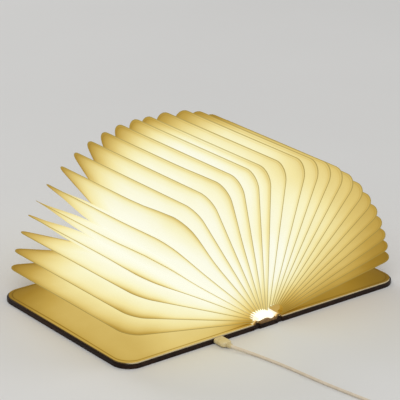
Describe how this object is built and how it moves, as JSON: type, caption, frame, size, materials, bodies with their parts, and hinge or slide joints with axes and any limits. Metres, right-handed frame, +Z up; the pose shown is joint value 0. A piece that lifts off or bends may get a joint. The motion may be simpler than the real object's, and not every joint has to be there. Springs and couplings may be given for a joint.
{
  "type": "folding book lamp",
  "caption": "Lamp shaped like a hardback book: wooden covers open to a half-round fan of glowing paper leaves around a light bar, charged by a cable.",
  "frame": {"origin": "on the table under the middle of the spine, lamp open flat", "axes": "+X across the open book towards the back cover, +Y along the spine towards the head edge, +Z up"},
  "size_m": [0.3656, 0.5438, 0.1691],
  "materials": {
    "paper": "matte, translucent",
    "wood": "dark walnut, satin",
    "card": "matte",
    "cloth": "matte",
    "aluminium": "satin",
    "opal": "opal, lit",
    "board": "white solder mask",
    "led": "phosphor",
    "screw": "zinc plated",
    "cell": "foil pouch",
    "contact_steel": "nickel plated",
    "chip": "moulded",
    "ribbon": "flat cable",
    "magnet": "nickel plated",
    "cable": "soft moulded, off-white",
    "tie": "matte",
    "white_plastic": "moulded"
  },
  "bodies": {
    "front_cover": {"front_cover": "wood", "front_lining": "card", "battery": "cell", "charge_board": "board", "usb_socket": "contact_steel", "hall_sensor": "chip", "front_magnets": "magnet", "plug_body": "cable", "plug_shell": "contact_steel", "usb_cord": "cable", "cord_coil": "cable", "cord_tie": "tie", "cord_tail": "cable", "far_plug_body": "cable", "far_plug_shell": "contact_steel", "far_plug_tongue": "white_plastic"},
    "spine": {"spine_board": "wood", "light_tray": "aluminium", "diffuser": "opal", "tail_end_cap": "opal", "head_end_cap": "opal", "led_board": "board", "leds": "led", "tray_screws": "screw", "lead_ribbon": "ribbon", "front_hinge_cloth": "cloth", "back_hinge_cloth": "cloth"},
    "back_cover": {"back_cover": "wood", "back_lining": "card", "back_magnets": "magnet", "switch_magnet": "magnet"},
    "leaf_13": {"page_leaf_13": "paper"},
    "leaf_12": {"page_leaf_12": "paper"},
    "leaf_11": {"page_leaf_11": "paper"},
    "leaf_10": {"page_leaf_10": "paper"},
    "leaf_09": {"page_leaf_09": "paper"},
    "leaf_08": {"page_leaf_08": "paper"},
    "leaf_07": {"page_leaf_07": "paper"},
    "leaf_06": {"page_leaf_06": "paper"},
    "leaf_05": {"page_leaf_05": "paper"},
    "leaf_04": {"page_leaf_04": "paper"},
    "leaf_03": {"page_leaf_03": "paper"},
    "leaf_02": {"page_leaf_02": "paper"},
    "leaf_01": {"page_leaf_01": "paper"},
    "front_endpaper": {"front_endpaper": "paper"},
    "leaf_14": {"page_leaf_14": "paper"},
    "leaf_15": {"page_leaf_15": "paper"},
    "leaf_16": {"page_leaf_16": "paper"},
    "leaf_17": {"page_leaf_17": "paper"},
    "leaf_18": {"page_leaf_18": "paper"},
    "leaf_19": {"page_leaf_19": "paper"},
    "leaf_20": {"page_leaf_20": "paper"},
    "leaf_21": {"page_leaf_21": "paper"},
    "leaf_22": {"page_leaf_22": "paper"},
    "leaf_23": {"page_leaf_23": "paper"},
    "leaf_24": {"page_leaf_24": "paper"},
    "leaf_25": {"page_leaf_25": "paper"},
    "leaf_26": {"page_leaf_26": "paper"},
    "back_endpaper": {"back_endpaper": "paper"}
  },
  "joints": [
    {"name": "front_hinge", "type": "hinge", "parent": "front_cover", "child": "spine", "pos_m": [-0.015, 0, 0.0025], "axis": [0, -1, 0], "range_deg": [-90, 90], "deforming": ["front_hinge_cloth", "lead_ribbon"]},
    {"name": "back_hinge", "type": "hinge", "parent": "spine", "child": "back_cover", "pos_m": [0.015, 0, 0.0025], "axis": [0, -1, 0], "range_deg": [-90, 90], "deforming": ["back_hinge_cloth"]},
    {"name": "leaf_13_turn", "type": "hinge", "parent": "spine", "child": "leaf_13", "pos_m": [-0.015, 0, 0.0025], "axis": [0, 1, 0], "range_deg": [-1.02, 1.02], "deforming": ["page_leaf_13"]},
    {"name": "leaf_12_turn", "type": "hinge", "parent": "leaf_13", "child": "leaf_12", "pos_m": [-0.015, 0, 0.0025], "axis": [0, 1, 0], "range_deg": [-5.62, 5.62], "deforming": ["page_leaf_12"]},
    {"name": "leaf_11_turn", "type": "hinge", "parent": "leaf_12", "child": "leaf_11", "pos_m": [-0.015, 0, 0.0025], "axis": [0, 1, 0], "range_deg": [-6.82, 6.82], "deforming": ["page_leaf_11"]},
    {"name": "leaf_10_turn", "type": "hinge", "parent": "leaf_11", "child": "leaf_10", "pos_m": [-0.015, 0, 0.0025], "axis": [0, 1, 0], "range_deg": [-6.62, 6.62], "deforming": ["page_leaf_10"]},
    {"name": "leaf_09_turn", "type": "hinge", "parent": "leaf_10", "child": "leaf_09", "pos_m": [-0.015, 0, 0.0025], "axis": [0, 1, 0], "range_deg": [-6.42, 6.42], "deforming": ["page_leaf_09"]},
    {"name": "leaf_08_turn", "type": "hinge", "parent": "leaf_09", "child": "leaf_08", "pos_m": [-0.015, 0, 0.0025], "axis": [0, 1, 0], "range_deg": [-6.62, 6.62], "deforming": ["page_leaf_08"]},
    {"name": "leaf_07_turn", "type": "hinge", "parent": "leaf_08", "child": "leaf_07", "pos_m": [-0.015, 0, 0.0025], "axis": [0, 1, 0], "range_deg": [-7.02, 7.02], "deforming": ["page_leaf_07"]},
    {"name": "leaf_06_turn", "type": "hinge", "parent": "leaf_07", "child": "leaf_06", "pos_m": [-0.015, 0, 0.0025], "axis": [0, 1, 0], "range_deg": [-8.02, 8.02], "deforming": ["page_leaf_06"]},
    {"name": "leaf_05_turn", "type": "hinge", "parent": "leaf_06", "child": "leaf_05", "pos_m": [-0.015, 0, 0.0025], "axis": [0, 1, 0], "range_deg": [-6.82, 6.82], "deforming": ["page_leaf_05"]},
    {"name": "leaf_04_turn", "type": "hinge", "parent": "leaf_05", "child": "leaf_04", "pos_m": [-0.015, 0, 0.0025], "axis": [0, 1, 0], "range_deg": [-5.62, 5.62], "deforming": ["page_leaf_04"]},
    {"name": "leaf_03_turn", "type": "hinge", "parent": "leaf_04", "child": "leaf_03", "pos_m": [-0.015, 0, 0.0025], "axis": [0, 1, 0], "range_deg": [-6.42, 6.42], "deforming": ["page_leaf_03"]},
    {"name": "leaf_02_turn", "type": "hinge", "parent": "leaf_03", "child": "leaf_02", "pos_m": [-0.015, 0, 0.0025], "axis": [0, 1, 0], "range_deg": [-6.82, 6.82], "deforming": ["page_leaf_02"]},
    {"name": "leaf_01_turn", "type": "hinge", "parent": "leaf_02", "child": "leaf_01", "pos_m": [-0.015, 0, 0.0025], "axis": [0, 1, 0], "range_deg": [-6.22, 6.22], "deforming": ["page_leaf_01"]},
    {"name": "front_endpaper_turn", "type": "hinge", "parent": "leaf_01", "child": "front_endpaper", "pos_m": [-0.015, 0, 0.0025], "axis": [0, 1, 0], "range_deg": [-10.22, 10.22], "deforming": ["front_endpaper"]},
    {"name": "leaf_14_turn", "type": "hinge", "parent": "spine", "child": "leaf_14", "pos_m": [0.015, 0, 0.0025], "axis": [0, -1, 0], "range_deg": [-6.32, 6.32], "deforming": ["page_leaf_14"]},
    {"name": "leaf_15_turn", "type": "hinge", "parent": "leaf_14", "child": "leaf_15", "pos_m": [0.015, 0, 0.0025], "axis": [0, -1, 0], "range_deg": [-9.02, 9.02], "deforming": ["page_leaf_15"]},
    {"name": "leaf_16_turn", "type": "hinge", "parent": "leaf_15", "child": "leaf_16", "pos_m": [0.015, 0, 0.0025], "axis": [0, -1, 0], "range_deg": [-6.72, 6.72], "deforming": ["page_leaf_16"]},
    {"name": "leaf_17_turn", "type": "hinge", "parent": "leaf_16", "child": "leaf_17", "pos_m": [0.015, 0, 0.0025], "axis": [0, -1, 0], "range_deg": [-6.52, 6.52], "deforming": ["page_leaf_17"]},
    {"name": "leaf_18_turn", "type": "hinge", "parent": "leaf_17", "child": "leaf_18", "pos_m": [0.015, 0, 0.0025], "axis": [0, -1, 0], "range_deg": [-6.62, 6.62], "deforming": ["page_leaf_18"]},
    {"name": "leaf_19_turn", "type": "hinge", "parent": "leaf_18", "child": "leaf_19", "pos_m": [0.015, 0, 0.0025], "axis": [0, -1, 0], "range_deg": [-6.52, 6.52], "deforming": ["page_leaf_19"]},
    {"name": "leaf_20_turn", "type": "hinge", "parent": "leaf_19", "child": "leaf_20", "pos_m": [0.015, 0, 0.0025], "axis": [0, -1, 0], "range_deg": [-6.62, 6.62], "deforming": ["page_leaf_20"]},
    {"name": "leaf_21_turn", "type": "hinge", "parent": "leaf_20", "child": "leaf_21", "pos_m": [0.015, 0, 0.0025], "axis": [0, -1, 0], "range_deg": [-6.62, 6.62], "deforming": ["page_leaf_21"]},
    {"name": "leaf_22_turn", "type": "hinge", "parent": "leaf_21", "child": "leaf_22", "pos_m": [0.015, 0, 0.0025], "axis": [0, -1, 0], "range_deg": [-6.12, 6.12], "deforming": ["page_leaf_22"]},
    {"name": "leaf_23_turn", "type": "hinge", "parent": "leaf_22", "child": "leaf_23", "pos_m": [0.015, 0, 0.0025], "axis": [0, -1, 0], "range_deg": [-5.62, 5.62], "deforming": ["page_leaf_23"]},
    {"name": "leaf_24_turn", "type": "hinge", "parent": "leaf_23", "child": "leaf_24", "pos_m": [0.015, 0, 0.0025], "axis": [0, -1, 0], "range_deg": [-5.62, 5.62], "deforming": ["page_leaf_24"]},
    {"name": "leaf_25_turn", "type": "hinge", "parent": "leaf_24", "child": "leaf_25", "pos_m": [0.015, 0, 0.0025], "axis": [0, -1, 0], "range_deg": [-4.92, 4.92], "deforming": ["page_leaf_25"]},
    {"name": "leaf_26_turn", "type": "hinge", "parent": "leaf_25", "child": "leaf_26", "pos_m": [0.015, 0, 0.0025], "axis": [0, -1, 0], "range_deg": [-4.62, 4.62], "deforming": ["page_leaf_26"]},
    {"name": "back_endpaper_turn", "type": "hinge", "parent": "leaf_26", "child": "back_endpaper", "pos_m": [0.015, 0, 0.0025], "axis": [0, -1, 0], "range_deg": [-8.42, 8.42], "deforming": ["back_endpaper"]}
  ],
  "couplings": [
    {"joint": "leaf_13_turn", "follows": "front_hinge", "ratio": 0.011111},
    {"joint": "leaf_12_turn", "follows": "front_hinge", "ratio": 0.062222},
    {"joint": "leaf_11_turn", "follows": "front_hinge", "ratio": 0.075556},
    {"joint": "leaf_10_turn", "follows": "front_hinge", "ratio": 0.073333},
    {"joint": "leaf_09_turn", "follows": "front_hinge", "ratio": 0.071111},
    {"joint": "leaf_08_turn", "follows": "front_hinge", "ratio": 0.073333},
    {"joint": "leaf_07_turn", "follows": "front_hinge", "ratio": 0.077778},
    {"joint": "leaf_06_turn", "follows": "front_hinge", "ratio": 0.088889},
    {"joint": "leaf_05_turn", "follows": "front_hinge", "ratio": 0.075556},
    {"joint": "leaf_04_turn", "follows": "front_hinge", "ratio": 0.062222},
    {"joint": "leaf_03_turn", "follows": "front_hinge", "ratio": 0.071111},
    {"joint": "leaf_02_turn", "follows": "front_hinge", "ratio": 0.075556},
    {"joint": "leaf_01_turn", "follows": "front_hinge", "ratio": 0.068889},
    {"joint": "front_endpaper_turn", "follows": "front_hinge", "ratio": 0.11333},
    {"joint": "leaf_14_turn", "follows": "back_hinge", "ratio": 0.07},
    {"joint": "leaf_15_turn", "follows": "back_hinge", "ratio": 0.1},
    {"joint": "leaf_16_turn", "follows": "back_hinge", "ratio": 0.074444},
    {"joint": "leaf_17_turn", "follows": "back_hinge", "ratio": 0.072222},
    {"joint": "leaf_18_turn", "follows": "back_hinge", "ratio": 0.073333},
    {"joint": "leaf_19_turn", "follows": "back_hinge", "ratio": 0.072222},
    {"joint": "leaf_20_turn", "follows": "back_hinge", "ratio": 0.073333},
    {"joint": "leaf_21_turn", "follows": "back_hinge", "ratio": 0.073333},
    {"joint": "leaf_22_turn", "follows": "back_hinge", "ratio": 0.067778},
    {"joint": "leaf_23_turn", "follows": "back_hinge", "ratio": 0.062222},
    {"joint": "leaf_24_turn", "follows": "back_hinge", "ratio": 0.062222},
    {"joint": "leaf_25_turn", "follows": "back_hinge", "ratio": 0.054444},
    {"joint": "leaf_26_turn", "follows": "back_hinge", "ratio": 0.051111},
    {"joint": "back_endpaper_turn", "follows": "back_hinge", "ratio": 0.093333}
  ]
}
